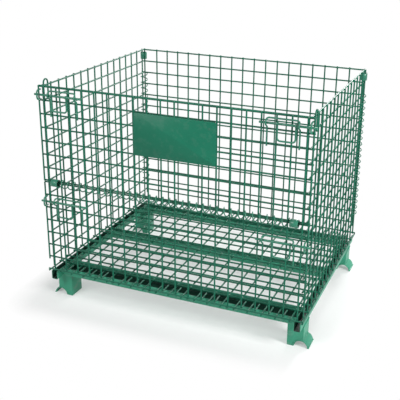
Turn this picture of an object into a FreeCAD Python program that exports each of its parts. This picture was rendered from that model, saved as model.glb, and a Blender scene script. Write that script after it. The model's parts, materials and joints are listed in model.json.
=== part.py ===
import FreeCAD, Part
import math
import os

# Folding wire mesh container: a floor on U channels and four feet, a fixed back panel, two side panels
# that fold inwards on coil hinges, and a front made of a lower panel and a drop gate with sliding bolts.
# Millimetres. X runs along the long side, the front faces -Y, Z is up and 0 is the ground.

# ---- wires ----
mesh_pitch = 50.0             # spacing of the mesh in every panel and in the floor
mesh_wire = 5.8               # diameter of the panel wires, guides and loops
base_wire = 6.0               # diameter of the floor wires
rim_wire = 8.0                # diameter of the thick top wire of the gate
weld_gap = 0.05               # gap left between two pieces that are welded together
run_gap = 0.3                 # gap between pieces that move past each other

# ---- floor ----
foot_height = 84.0            # ground to the underside of the side channels
side_channel_height = 34.0
side_channel_width = 25.0
side_channel_short = 2.0      # floor's edge wire to the ends of the side channels
channel_wall = 2.5
side_channel_inset = 6.0      # floor's edge wire to the outer face of the side channels
cross_channel_height = 30.0
cross_channel_inset = 36.0    # floor's edge wire to the outer face of the front and rear cross channels
front_channel_width = 80.0
middle_channel_width = 25.0
rear_channel_width = 45.0
floor_half_length = 495.5     # middle of the floor to the middle of its left and right edge wires
floor_half_depth = 396.0      # middle of the floor to the middle of its front and rear edge wires
floor_wire_end = 3.0          # how far a floor wire runs past the edge wire that it crosses
floor_row_margin = 60.0       # least distance from an edge wire to the first wire beside it

# ---- feet ----
foot_inset_x = 5.5            # floor's edge wires to the feet
foot_inset_y = 46.0
foot_width = 58.0
foot_depth = 67.0
foot_wall = 3.0
saddle_inset = 14.5           # floor's edge wire to the axis of the half-round stacking saddle
saddle_radius = 24.0          # inner radius of the saddle
saddle_sheet = 3.0
saddle_toe = 3.0              # flat lip outside the saddle

# ---- panels ----
rim_height = 829.0            # ground to the middle of the top wires
tip_rise = 3.5                # how far standing wires pass the middle of the top wires
front_column_margin = 20.0    # least distance from the floor's edge wire to the outermost standing wire
gate_row_count = 6            # rows of the gate between its top wire and its hinge wire
lowest_row_margin = 40.0      # least distance from the floor to the lowest row of a panel
hook_stations = (5, 8, 11, 14)  # standing wires that hook round the edge wire, counted from the left
hook_rise = 0.5               # the tip of a hook stands this far above the middle of the edge wire
tail_length = 56.0            # edge wire to the tips of the other wires, which turn inwards at the foot
tail_bend = 6.0
end_wire_offset = 0.5         # floor's edge wire to the extra end wires of the gate and the lower panel
end_wire_rise = 38.9          # floor to the lower ends of the lower panel's end wires
lower_row_drop = 5.0          # the rows of the lower panel hang this far under the pitch
corner_wire_inset = 11.5      # floor's edge wire to the end wires of the back panel
corner_wire_rise = 32.9       # floor to their lower ends
side_row_inset = 10.5         # floor's edge wire to the side rows; their standing wires are outside them
side_first_inset = 24.0       # floor's front edge wire to the front standing wire of a side
side_last_inset = 18.0        # floor's rear edge wire to the rear standing wire of a side
side_tip = 8.0                # the side rows run this far past that wire
side_turn_inset = 0.3         # side rows to the turning axis of the side
side_floor_gap = 0.3          # floor to the lower ends of the side wires

# ---- hinges ----
coil_wire = 4.0
coil_inner = 12.3             # inner radius of every coil and clip
coil_pitch = 25.0             # two turns for each mesh opening
mid_hinge_drop = 352.0        # top wires to the turning axis of the gate
mid_hinge_setback = 2.5       # standing wires of the front to that axis
mid_hinge_split = 7.0         # spacing of the two hinge wires
mid_wire_end_split = 5.0      # spacing of the ends of the standing wires at the hinge
mid_coil_overrun = 5.0        # the coil runs this far past the last standing wire but one
rear_coil_inset_x = 11.0      # floor's edge wires to the axis of a rear coil
rear_coil_inset_y = 15.0
rear_coil_drop = 98.0         # top wires to the top of a rear coil
rear_coil_rise = 82.9         # floor to its foot
clip_sheet = 1.5
clip_length = 28.0
mid_clip_offset = 24.0        # last standing wire but one to the middle of a clip on the middle hinge
rear_clip_drop = 25.5         # top wires to the middle of the clips on the rear hinges

# ---- latches ----
bolt_diameter = 8.0
bolt_drop = 27.0              # the row above to the middle of the bolt
lower_bolt_drop = 21.0
bolt_tip_past = 12.5          # how far a bolt's tip stands past the floor's edge wire
bolt_length = 188.0
bolt_gap = 0.4                # gap between a bolt, or a handle's eye, and the wires beside it
eye_wall = 1.8                # thickness of the flattened eyes of a handle
eye_width = 7.0
eye_fit = 0.1                 # radial running fit of an eye on its bolt
handle_wire = 6.0
handle_inset = 98.0           # tip of the bolt to the middle of its handle
handle_width = 60.0
handle_height = 55.0          # middle of the bolt to the middle of the handle's lower bar
handle_bend = 8.0
guide_inner_inset = 164.0     # tip of the bolt to the inner leg of a guide staple
guide_outer_inset = 57.0
guide_drop = 78.0             # bolt to the lower ends of the staple
guide_rise = 16.0             # bolt to the bar of the staple
guide_kink = 16.0             # bolt to the bend where a leg leaves the mesh
guide_bend = 3.2
loop_half_height = 17.0       # the loop round a bolt's tip
loop_reach = 10.9             # middle of the bolt to the front of the loop
loop_bend = 10.0
loop_tail = 2.3               # the loop's ends reach this far behind the end wire

# ---- corner loops and plate ----
corner_loop_setback = 6.0     # front standing wire of a side to the front leg of the hairpin above the rim
corner_loop_width = 25.0
corner_loop_rise = 22.0       # top wires to the top of the hairpin
corner_loop_drop = 54.0       # top wires to the feet of the hairpin
plate_station = 7             # standing wire at the left edge of the label plate, counted from the left
plate_column_count = 6        # mesh openings covered by the label plate
plate_row_count = 3
plate_sheet = 1.5

# ---- worked out from the sizes above ----
wire_r = mesh_wire / 2
base_r = base_wire / 2
bolt_r = bolt_diameter / 2
welded = mesh_wire + weld_gap                          # spacing of two welded layers of mesh wire
channel_top = foot_height + side_channel_height
floor_column_z = channel_top + weld_gap + base_r
floor_row_z = floor_column_z + base_wire + weld_gap
side_channel_half = floor_half_depth - side_channel_short
side_channel_x = floor_half_length - side_channel_inset
cross_channel_y = floor_half_depth - cross_channel_inset
foot_outer_x = floor_half_length - foot_inset_x
foot_outer_y = floor_half_depth - foot_inset_y
saddle_x = floor_half_length - saddle_inset
front_column_count = int(2 * (floor_half_length - front_column_margin) / mesh_pitch) + 1    # at the mesh pitch
floor_column_count = front_column_count - 1            # floor wires run midway between the standing wires
floor_row_count = int(2 * (floor_half_depth - floor_row_margin) / mesh_pitch) + 1
middle_channel_y = (floor_row_count // 2 - (floor_row_count - 1) / 2) * mesh_pitch    # under a floor wire
hook_radius = base_r + run_gap + wire_r                # a hook turns about the edge wire
front_upright_y = -floor_half_depth + hook_radius
front_row_y = front_upright_y + welded
rear_row_y = -front_row_y
side_first_y = side_first_inset - floor_half_depth
side_last_y = floor_half_depth - side_last_inset
side_column_count = round((side_last_y - side_first_y) / mesh_pitch) + 1
side_pitch = (side_last_y - side_first_y) / (side_column_count - 1)
side_row_x = floor_half_length - side_row_inset
side_upright_x = side_row_x + welded
side_turn_x = side_row_x - side_turn_inset             # a folded side lies just in front of the back
side_turn_y = rear_row_y - mesh_wire - run_gap + side_turn_inset
side_upright_foot = floor_row_z + base_r + side_floor_gap
end_wire_x = floor_half_length + end_wire_offset
end_wire_foot = floor_row_z + end_wire_rise
corner_wire_x = floor_half_length - corner_wire_inset
corner_wire_foot = floor_row_z + corner_wire_rise
full_row_count = int((rim_height - floor_row_z - lowest_row_margin) / mesh_pitch) + 1    # with the top wire
mid_hinge_height = rim_height - mid_hinge_drop
mid_hinge_y = front_upright_y - mid_hinge_setback
rear_coil_x = floor_half_length - rear_coil_inset_x
rear_coil_y = floor_half_depth - rear_coil_inset_y
rear_coil_top = rim_height - rear_coil_drop
rear_coil_foot = floor_row_z + rear_coil_rise
rear_clip_z = rim_height - rear_clip_drop
coil_radius = coil_inner + coil_wire / 2
upper_hinge_wire_z = mid_hinge_height + mid_hinge_split / 2
lower_hinge_wire_z = mid_hinge_height - mid_hinge_split / 2
bolt_y = front_upright_y - wire_r - bolt_gap - eye_wall - eye_fit - bolt_r
guide_y = bolt_y - bolt_r - bolt_gap - wire_r
guide_bar_y = front_upright_y - welded
upper_bolt_z = rim_height - bolt_drop
lower_row_top = rim_height - (gate_row_count + 2) * mesh_pitch - lower_row_drop
lower_row_count = int((lower_row_top - floor_row_z - lowest_row_margin) / mesh_pitch) + 1
lower_bolt_z = lower_row_top - lower_bolt_drop
bolt_tip_x = floor_half_length + bolt_tip_past
handle_x = bolt_tip_x - handle_inset
guide_inner_x = bolt_tip_x - guide_inner_inset
guide_outer_x = bolt_tip_x - guide_outer_inset
bolt_loop_x = end_wire_x - welded
bolt_loop_y = bolt_y - loop_reach
corner_loop_y = side_first_y + corner_loop_setback
corner_loop_top = rim_height + corner_loop_rise
corner_loop_foot = rim_height - corner_loop_drop

# The origin is under the middle of the whole object, which reaches further forward than back.
front_reach = -bolt_loop_y + wire_r
rear_reach = floor_half_depth + hook_radius + wire_r
origin = FreeCAD.Vector(0, (front_reach - rear_reach) / 2, 0)

os.makedirs("parts", exist_ok=True)


def point(x, y, z):
    return FreeCAD.Vector(x, y, z)


def save(name, solids):
    """Writes one node: its solids, moved so that the origin is under the middle of the object."""
    shape = solids[0] if len(solids) == 1 else Part.makeCompound(solids)
    shape = shape.copy()
    shape.translate(origin)
    shape.exportStep("parts/" + name + ".step")
    print(name, len(solids), round(sum(s.Volume for s in solids)))


def straight(start, end, radius):
    """A straight wire from start to end."""
    line = end - start
    return Part.makeCylinder(radius, line.Length, start, line)


def box(low, high):
    size = high - low
    return Part.makeBox(size.x, size.y, size.z, low)


def swept(path, radius, start, direction):
    """A round wire of the given radius along a path."""
    section = Part.Wire(Part.makeCircle(radius, start, direction))
    return path.makePipeShell([section], True, True)


def bent(points, radius, bend):
    """A wire through the points, with each corner rounded to the bend radius."""
    edges = []
    here = points[0]
    for i in range(1, len(points) - 1):
        before = (points[i] - points[i - 1]).normalize()
        after = (points[i + 1] - points[i]).normalize()
        half = before.getAngle(after) / 2
        enter = points[i] - before * bend * math.tan(half)
        leave = points[i] + after * bend * math.tan(half)
        inward = (after - before).normalize()
        middle = points[i] + inward * (bend / math.cos(half) - bend)
        edges.append(Part.LineSegment(here, enter).toShape())
        edges.append(Part.Arc(enter, middle, leave).toShape())
        here = leave
    edges.append(Part.LineSegment(here, points[-1]).toShape())
    return swept(Part.Wire(edges), radius, points[0], points[1] - points[0])


def coil(length, phase):
    """A coil along +Z from 0. Phase is the angle from +X at which it starts, in degrees."""
    helix = Part.makeHelix(coil_pitch, length, coil_radius)
    rise = coil_pitch / (2 * math.pi)
    solid = swept(helix, coil_wire / 2, point(coil_radius, 0, 0), point(0, coil_radius, rise))
    solid.rotate(point(0, 0, 0), point(0, 0, 1), phase)
    return solid


def clip():
    """A rolled sheet sleeve along +Z, in place of a coil turn at a hinge's end."""
    outer = Part.makeCylinder(coil_inner + clip_sheet, clip_length, point(0, 0, -clip_length / 2))
    return outer.cut(Part.makeCylinder(coil_inner, clip_length, point(0, 0, -clip_length / 2)))


def along_x(shape):
    """Turns a shape made along +Z so that it runs along +X, with its own +X at +Y."""
    shape.Placement = FreeCAD.Placement(FreeCAD.Matrix(0, 0, 1, 0, 1, 0, 0, 0, 0, 1, 0, 0)) * shape.Placement
    return shape


def spread(count):
    """Positions at the mesh pitch about the middle."""
    return [(i - (count - 1) / 2) * mesh_pitch for i in range(count)]


def row(half_length, y, z, radius=wire_r):
    return straight(point(-half_length, y, z), point(half_length, y, z), radius)


def upright(x, y, foot, top):
    return straight(point(x, y, foot), point(x, y, top), wire_r)


def footed(station, side, top):
    """A standing wire inside the front (-1) or rear (1) edge wire of the floor, with a hook, tail or plain end."""
    x = spread(front_column_count)[station]
    inside = side * (floor_half_depth - hook_radius)
    if station in (0, front_column_count - 1):
        return upright(x, inside, floor_row_z, top)
    if station not in hook_stations:
        tip = side * (floor_half_depth - tail_length)
        return bent([point(x, inside, top), point(x, inside, floor_row_z), point(x, tip, floor_row_z)],
                    wire_r, tail_bend)
    outside = side * (floor_half_depth + hook_radius)
    bottom = point(x, side * floor_half_depth, floor_row_z - hook_radius)
    path = Part.Wire([
        Part.LineSegment(point(x, inside, top), point(x, inside, floor_row_z)).toShape(),
        Part.Arc(point(x, inside, floor_row_z), bottom, point(x, outside, floor_row_z)).toShape(),
        Part.LineSegment(point(x, outside, floor_row_z), point(x, outside, floor_row_z + hook_rise)).toShape()])
    return swept(path, wire_r, point(x, inside, top), point(0, 0, -1))


# ---- floor and feet ----
def make_floor():
    x_end = floor_half_length + floor_wire_end
    y_end = floor_half_depth + floor_wire_end
    save("floor_rows", [row(x_end, y, floor_row_z, base_r) for y in spread(floor_row_count)])
    save("floor_columns", [
        straight(point(x, -y_end, floor_column_z), point(x, y_end, floor_column_z), base_r)
        for x in spread(floor_column_count)])
    edges = [row(x_end, side * floor_half_depth, floor_row_z, base_r) for side in (-1, 1)]
    for side in (-1, 1):
        x = side * floor_half_length
        edges.append(straight(point(x, -y_end, floor_column_z), point(x, y_end, floor_column_z), base_r))
    save("floor_edge_wires", edges)


def make_channels():
    inner = side_channel_x - side_channel_width
    for name, side in (("left", -1), ("right", 1)):
        low, high = sorted((side * inner, side * side_channel_x))
        solid = box(point(low, -side_channel_half, foot_height), point(high, side_channel_half, channel_top))
        hollow = box(
            point(low + channel_wall, -side_channel_half, foot_height + channel_wall),
            point(high - channel_wall, side_channel_half, channel_top))
        save("side_channel_" + name, [solid.cut(hollow)])
    half_length = inner - weld_gap
    bottom = channel_top - cross_channel_height
    middle_low = middle_channel_y - middle_channel_width / 2
    for name, low, high in (("front", -cross_channel_y, front_channel_width - cross_channel_y),
                            ("middle", middle_low, middle_low + middle_channel_width),
                            ("rear", cross_channel_y - rear_channel_width, cross_channel_y)):
        solid = box(point(-half_length, low, bottom), point(half_length, high, channel_top))
        hollow = box(
            point(-half_length, low + channel_wall, bottom + channel_wall),
            point(half_length, high - channel_wall, channel_top))
        save("cross_channel_" + name, [solid.cut(hollow)])


def make_feet():
    """A foot is a pressed leg, open below, over a half-round saddle sheet with a flat toe each side."""
    inner = foot_outer_x - foot_width
    front = -foot_outer_y
    rear = front + foot_depth
    along = point(0, 1, 0)
    sheet_r = saddle_radius + saddle_sheet
    channel_inner = side_channel_x - side_channel_width
    shoulder = channel_inner - weld_gap
    leg_top = foot_height - weld_gap
    inner_top = channel_top - cross_channel_height - weld_gap
    leg = box(point(inner, front, saddle_sheet + weld_gap), point(foot_outer_x, rear, leg_top))
    leg = leg.fuse(box(point(inner, front, leg_top), point(shoulder, rear, inner_top)))
    hollow = box(
        point(inner + foot_wall, front + foot_wall, 0),
        point(foot_outer_x - foot_wall, rear - foot_wall, leg_top - foot_wall))
    hollow = hollow.fuse(box(
        point(inner + foot_wall, front + foot_wall, leg_top - foot_wall),
        point(shoulder - foot_wall, rear - foot_wall, inner_top - foot_wall)))
    leg = leg.cut(hollow)
    leg = leg.cut(Part.makeCylinder(sheet_r + weld_gap, foot_depth, point(saddle_x, front, 0), along))
    toe = saddle_x + sheet_r + saddle_toe
    saddle = Part.makeCylinder(sheet_r, foot_depth, point(saddle_x, front, 0), along)
    saddle = saddle.fuse(box(point(inner, front, 0), point(toe, rear, saddle_sheet)))
    saddle = saddle.cut(Part.makeCylinder(saddle_radius, foot_depth, point(saddle_x, front, 0), along))
    saddle = saddle.cut(box(point(inner, front, -sheet_r), point(toe, rear, 0)))
    for name, x_side, y_side in (("front_left", -1, 1), ("front_right", 1, 1),
                                 ("rear_left", -1, -1), ("rear_right", 1, -1)):
        for kind, solid in (("foot_", leg), ("saddle_", saddle)):
            placed = solid.removeSplitter()
            if x_side < 0:
                placed = placed.mirror(point(0, 0, 0), point(1, 0, 0))
            if y_side < 0:
                placed = placed.mirror(point(0, 0, 0), along)
            save(kind + name, placed.Solids)


# ---- panels ----
def make_back():
    top = rim_height + tip_rise
    wires = [footed(i, 1, top) for i in range(1, front_column_count - 1)]
    for side in (-1, 1):
        wires.append(upright(side * corner_wire_x, -front_upright_y, corner_wire_foot, top))
    save("back_uprights", wires)
    half = corner_wire_x + wire_r
    save("back_rows", [row(half, rear_row_y, rim_height - i * mesh_pitch) for i in range(1, full_row_count)])
    save("back_rim", [row(half, rear_row_y, rim_height)])


def make_side(name, side):
    x = side * side_upright_x
    top = rim_height + tip_rise
    save("side_uprights_" + name, [
        upright(x, side_first_y + i * side_pitch, side_upright_foot, top) for i in range(side_column_count)])
    flush = side_first_y - wire_r - run_gap
    wires = []
    for i in range(1, full_row_count):
        z = rim_height - i * mesh_pitch
        start = flush if abs(z - mid_hinge_height) < coil_inner else side_first_y - side_tip
        wires.append(straight(point(side * side_row_x, start, z), point(side * side_row_x, side_turn_y, z), wire_r))
    save("side_rows_" + name, wires)
    start = front_upright_y + wire_r + weld_gap + rim_wire + run_gap
    save("side_rim_" + name, [straight(
        point(side * side_row_x, start, rim_height), point(side * side_row_x, side_turn_y, rim_height), wire_r)])
    rear = corner_loop_y + corner_loop_width
    top = corner_loop_top - wire_r
    shoulder = top - corner_loop_width / 2
    path = Part.Wire([
        Part.LineSegment(point(x, corner_loop_y, corner_loop_foot), point(x, corner_loop_y, shoulder)).toShape(),
        Part.Arc(point(x, corner_loop_y, shoulder), point(x, (corner_loop_y + rear) / 2, top),
                 point(x, rear, shoulder)).toShape(),
        Part.LineSegment(point(x, rear, shoulder), point(x, rear, corner_loop_foot)).toShape()])
    save("corner_loop_" + name, [swept(path, wire_r, point(x, corner_loop_y, corner_loop_foot), point(0, 0, 1))])


def make_lower_front():
    top = mid_hinge_height - mid_wire_end_split / 2
    wires = [footed(i, -1, top) for i in range(front_column_count)]
    for side in (-1, 1):
        wires.append(upright(side * end_wire_x, front_upright_y, end_wire_foot, top))
    save("lower_uprights", wires)
    half = end_wire_x + wire_r
    wires = [row(half, front_row_y, lower_hinge_wire_z)]
    wires += [row(half, front_row_y, lower_row_top - i * mesh_pitch) for i in range(lower_row_count)]
    save("lower_rows", wires)


def make_gate():
    foot = mid_hinge_height + mid_wire_end_split / 2
    top = rim_height + tip_rise
    stations = spread(front_column_count) + [-end_wire_x, end_wire_x]
    save("gate_uprights", [upright(x, front_upright_y, foot, top) for x in stations])
    half = end_wire_x + wire_r
    wires = [row(half, front_row_y, upper_hinge_wire_z)]
    wires += [row(half, front_row_y, rim_height - i * mesh_pitch) for i in range(1, gate_row_count + 1)]
    save("gate_rows", wires)
    rim_y = front_upright_y + wire_r + weld_gap + rim_wire / 2
    save("gate_rim", [row(half, rim_y, rim_height, rim_wire / 2)])
    outer = front_upright_y - wire_r - weld_gap
    high = rim_height - mesh_pitch
    left = spread(front_column_count)[plate_station]
    save("label_plate", [box(
        point(left, outer - plate_sheet, high - plate_row_count * mesh_pitch),
        point(left + plate_column_count * mesh_pitch, outer, high))])


# ---- hinges ----
def make_mid_hinge():
    last_but_one = spread(front_column_count)[-2]
    half = last_but_one + mid_coil_overrun
    clip_x = last_but_one + mid_clip_offset
    # the coil is on the inner side at each standing wire, so that the gate's wires can swing outwards
    solid = along_x(coil(2 * half, -360 * mid_coil_overrun / coil_pitch))
    solid.translate(point(-half, mid_hinge_y, mid_hinge_height))
    save("hinge_coil_middle", [solid])
    for name, side in (("left", -1), ("right", 1)):
        solid = along_x(clip())
        solid.translate(point(side * clip_x, mid_hinge_y, mid_hinge_height))
        save("hinge_clip_middle_" + name, [solid])


def make_rear_hinges():
    # the coil is on the outer side of the corner at each row, so that the side can fold inwards
    for name, side in (("left", -1), ("right", 1)):
        phase = 90 - side * 45 + 360 * (rear_coil_foot - rim_height) / coil_pitch
        solid = coil(rear_coil_top - rear_coil_foot, phase)
        solid.translate(point(side * rear_coil_x, rear_coil_y, rear_coil_foot))
        save("hinge_coil_rear_" + name, [solid])
        solid = clip()
        solid.translate(point(side * rear_coil_x, rear_coil_y, rear_clip_z))
        save("hinge_clip_rear_" + name, [solid])


# ---- latches ----
def make_latch(place, side, z):
    """One sliding bolt with its handle, the staple that guides it and the loop round its tip."""
    tip = side * bolt_tip_x
    tail = side * (bolt_tip_x - bolt_length)
    save("bolt_" + place, [straight(point(tail, bolt_y, z), point(tip, bolt_y, z), bolt_r)])

    bore = bolt_r + eye_fit
    left = side * handle_x - handle_width / 2
    right = side * handle_x + handle_width / 2
    top = z - bore
    low = z - handle_height
    solid = bent([point(left, bolt_y, top), point(left, bolt_y, low), point(right, bolt_y, low),
                  point(right, bolt_y, top)], handle_wire / 2, handle_bend)
    for x in (left, right):
        start = point(x - eye_width / 2, bolt_y, z)
        solid = solid.fuse(Part.makeCylinder(bore + eye_wall, eye_width, start, point(1, 0, 0)))
    hole_start = point(left - eye_width, bolt_y, z)
    hole_end = point(right + eye_width, bolt_y, z)
    save("handle_" + place, solid.cut(straight(hole_start, hole_end, bore)).Solids)

    legs = []
    for x in (side * guide_inner_x, side * guide_outer_x):
        legs.append([
            point(x, front_upright_y, z - guide_drop), point(x, front_upright_y, z - guide_kink),
            point(x, guide_y, z - bolt_r), point(x, guide_y, z + bolt_r),
            point(x, guide_bar_y, z + guide_rise)])
    save("guide_" + place, [bent(legs[0] + legs[1][::-1], wire_r, guide_bend)])

    x = side * bolt_loop_x
    tail = front_upright_y + loop_tail
    save("bolt_loop_" + place, [bent(
        [point(x, tail, z - loop_half_height), point(x, bolt_loop_y, z - loop_half_height),
         point(x, bolt_loop_y, z + loop_half_height), point(x, tail, z + loop_half_height)],
        wire_r, loop_bend)])


make_floor()
make_channels()
make_feet()
make_back()
make_side("left", -1)
make_side("right", 1)
make_lower_front()
make_gate()
make_mid_hinge()
make_rear_hinges()
make_latch("upper_left", -1, upper_bolt_z)
make_latch("upper_right", 1, upper_bolt_z)
make_latch("lower_left", -1, lower_bolt_z)
make_latch("lower_right", 1, lower_bolt_z)
print("origin shift", origin.y)
print("gate axis", mid_hinge_y + origin.y, mid_hinge_height)
print("lower axis", -floor_half_depth + origin.y, floor_row_z)
print("side axis", side_turn_x, side_turn_y + origin.y)
print("bolt axis", bolt_y + origin.y, upper_bolt_z, lower_bolt_z)
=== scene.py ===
import json
import math

import bmesh
import bpy
from mathutils import Matrix, Vector


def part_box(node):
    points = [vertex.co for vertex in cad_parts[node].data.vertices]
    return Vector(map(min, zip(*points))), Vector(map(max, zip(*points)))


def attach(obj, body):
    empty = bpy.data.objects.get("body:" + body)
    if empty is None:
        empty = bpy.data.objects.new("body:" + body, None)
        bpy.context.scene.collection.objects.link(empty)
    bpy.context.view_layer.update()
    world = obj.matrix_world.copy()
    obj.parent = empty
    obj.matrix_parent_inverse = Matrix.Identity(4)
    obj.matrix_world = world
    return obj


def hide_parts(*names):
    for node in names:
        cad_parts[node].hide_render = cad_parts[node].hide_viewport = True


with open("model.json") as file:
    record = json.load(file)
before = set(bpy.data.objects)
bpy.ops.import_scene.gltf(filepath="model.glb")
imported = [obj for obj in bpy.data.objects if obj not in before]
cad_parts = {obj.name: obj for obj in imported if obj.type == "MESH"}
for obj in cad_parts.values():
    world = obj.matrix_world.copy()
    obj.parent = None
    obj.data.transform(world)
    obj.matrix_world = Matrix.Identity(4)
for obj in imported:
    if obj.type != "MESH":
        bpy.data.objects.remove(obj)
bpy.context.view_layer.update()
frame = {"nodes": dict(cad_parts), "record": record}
nodes = frame["nodes"]
print("frame loaded,", len(nodes), "nodes")


def v(x, y, z):
    return Vector((x, y, z))


# one green paint on everything
paint = {
    "base": (0.006, 0.155, 0.088, 1),
    "deep": (0.002, 0.072, 0.045, 1),
    "sheen": (0.026, 0.290, 0.190, 1),
    "steel": (0.26, 0.30, 0.28, 1),
    "dust": (0.22, 0.33, 0.27, 1),
    # near black, painted as shade inside the channels
    "channelShade": (0.003, 0.016, 0.011, 1),
    "poolScale": 11.0,        # where dipped paint pooled and where it ran off
    "thinScale": 210.0,
    "peelScale": 420.0,
    "dustScale": 26.0,
    "coatRough": 0.16,
    "peelDepth": 0.0004,
}


def newGroup(name, inputs, outputs):
    tree = bpy.data.node_groups.new(name, "ShaderNodeTree")
    for label, kind, value in inputs:
        socket = tree.interface.new_socket(label, in_out="INPUT", socket_type=kind)
        socket.default_value = value
    for label, kind in outputs:
        tree.interface.new_socket(label, in_out="OUTPUT", socket_type=kind)
    return tree, tree.nodes.new("NodeGroupInput"), tree.nodes.new("NodeGroupOutput")


def link(tree, a, b):
    tree.links.new(a, b)


def feed(tree, socket, value):
    if hasattr(value, "is_output"):
        tree.links.new(value, socket)
    elif value is not None:
        socket.default_value = value


def mathNode(tree, operation, a, b=0.5, clamp=False):
    node = tree.nodes.new("ShaderNodeMath")
    node.operation = operation
    node.use_clamp = clamp
    feed(tree, node.inputs[0], a)
    feed(tree, node.inputs[1], b)
    return node.outputs[0]


def ramp(tree, value, low, high):
    # 0 below low, 1 above high
    node = tree.nodes.new("ShaderNodeMapRange")
    feed(tree, node.inputs["Value"], value)
    node.inputs["From Min"].default_value = low
    node.inputs["From Max"].default_value = high
    return node.outputs[0]


def mixColour(tree, factor, a, b):
    node = tree.nodes.new("ShaderNodeMix")
    node.data_type = "RGBA"
    feed(tree, node.inputs[0], factor)
    feed(tree, node.inputs[6], a)
    feed(tree, node.inputs[7], b)
    return node.outputs[2]


def noise(tree, scale, detail=3.0, rough=0.5, vector=None):
    node = tree.nodes.new("ShaderNodeTexNoise")
    feed(tree, node.inputs["Scale"], scale)
    node.inputs["Detail"].default_value = detail
    node.inputs["Roughness"].default_value = rough
    if vector is None:
        vector = tree.nodes.new("ShaderNodeTexCoord").outputs["Object"]
    link(tree, vector, node.inputs["Vector"])
    return node.outputs["Fac"]


def makePaintGroup():
    # dipped paint: it is deep where it pooled, thin and lighter where it ran off, with a fine orange peel
    tree, inputs, outputs = newGroup(
        "dippedPaint",
        [("Base", "NodeSocketColor", paint["base"]), ("Deep", "NodeSocketColor", paint["deep"]),
         ("Sheen", "NodeSocketColor", paint["sheen"]), ("Pooling", "NodeSocketFloat", 0.5),
         ("Roughness", "NodeSocketFloat", 0.34)],
        [("Color", "NodeSocketColor"), ("Height", "NodeSocketFloat"), ("Roughness", "NodeSocketFloat")])
    pools = ramp(tree, noise(tree, paint["poolScale"], 2.0), 0.42, 0.72)
    pools = mathNode(tree, "MULTIPLY", pools, inputs.outputs["Pooling"])
    colour = mixColour(tree, pools, inputs.outputs["Base"], inputs.outputs["Deep"])
    fine = noise(tree, paint["thinScale"], 4.0, 0.6)
    thin = mathNode(tree, "MULTIPLY", ramp(tree, fine, 0.56, 0.78), inputs.outputs["Pooling"])
    colour = mixColour(tree, thin, colour, inputs.outputs["Sheen"])
    peel = mathNode(tree, "ADD", mathNode(tree, "MULTIPLY", noise(tree, paint["peelScale"], 2.0), 0.6), fine)
    rough = mathNode(tree, "ADD", inputs.outputs["Roughness"], mathNode(tree, "MULTIPLY", fine, 0.16), True)
    link(tree, colour, outputs.inputs["Color"])
    link(tree, peel, outputs.inputs["Height"])
    link(tree, rough, outputs.inputs["Roughness"])
    return tree


def makeWearGroup():
    # chips on proud edges, down to bare steel
    tree, inputs, outputs = newGroup(
        "edgeWear", [("Amount", "NodeSocketFloat", 0.3), ("Scale", "NodeSocketFloat", 70.0)],
        [("Mask", "NodeSocketFloat")])
    geometry = tree.nodes.new("ShaderNodeNewGeometry")
    edge = ramp(tree, geometry.outputs["Pointiness"], 0.53, 0.64)
    chips = ramp(tree, noise(tree, inputs.outputs["Scale"], 3.0), 0.55, 0.66)
    mask = mathNode(tree, "MULTIPLY", edge, chips)
    link(tree, mathNode(tree, "MULTIPLY", mask, inputs.outputs["Amount"]), outputs.inputs["Mask"])
    return tree


def makeDustGroup():
    # a little pale dust and scuffing on what looks up
    tree, inputs, outputs = newGroup(
        "restingDust", [("Amount", "NodeSocketFloat", 0.15)], [("Mask", "NodeSocketFloat")])
    geometry = tree.nodes.new("ShaderNodeNewGeometry")
    split = tree.nodes.new("ShaderNodeSeparateXYZ")
    link(tree, geometry.outputs["Normal"], split.inputs[0])
    patch = ramp(tree, noise(tree, paint["dustScale"], 4.0, 0.6), 0.35, 0.75)
    patch = mathNode(tree, "MULTIPLY", patch, ramp(tree, split.outputs["Z"], 0.3, 0.95))
    link(tree, mathNode(tree, "MULTIPLY", patch, inputs.outputs["Amount"]), outputs.inputs["Mask"])
    return tree


dippedPaint = makePaintGroup()
edgeWear = makeWearGroup()
restingDust = makeDustGroup()


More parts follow.
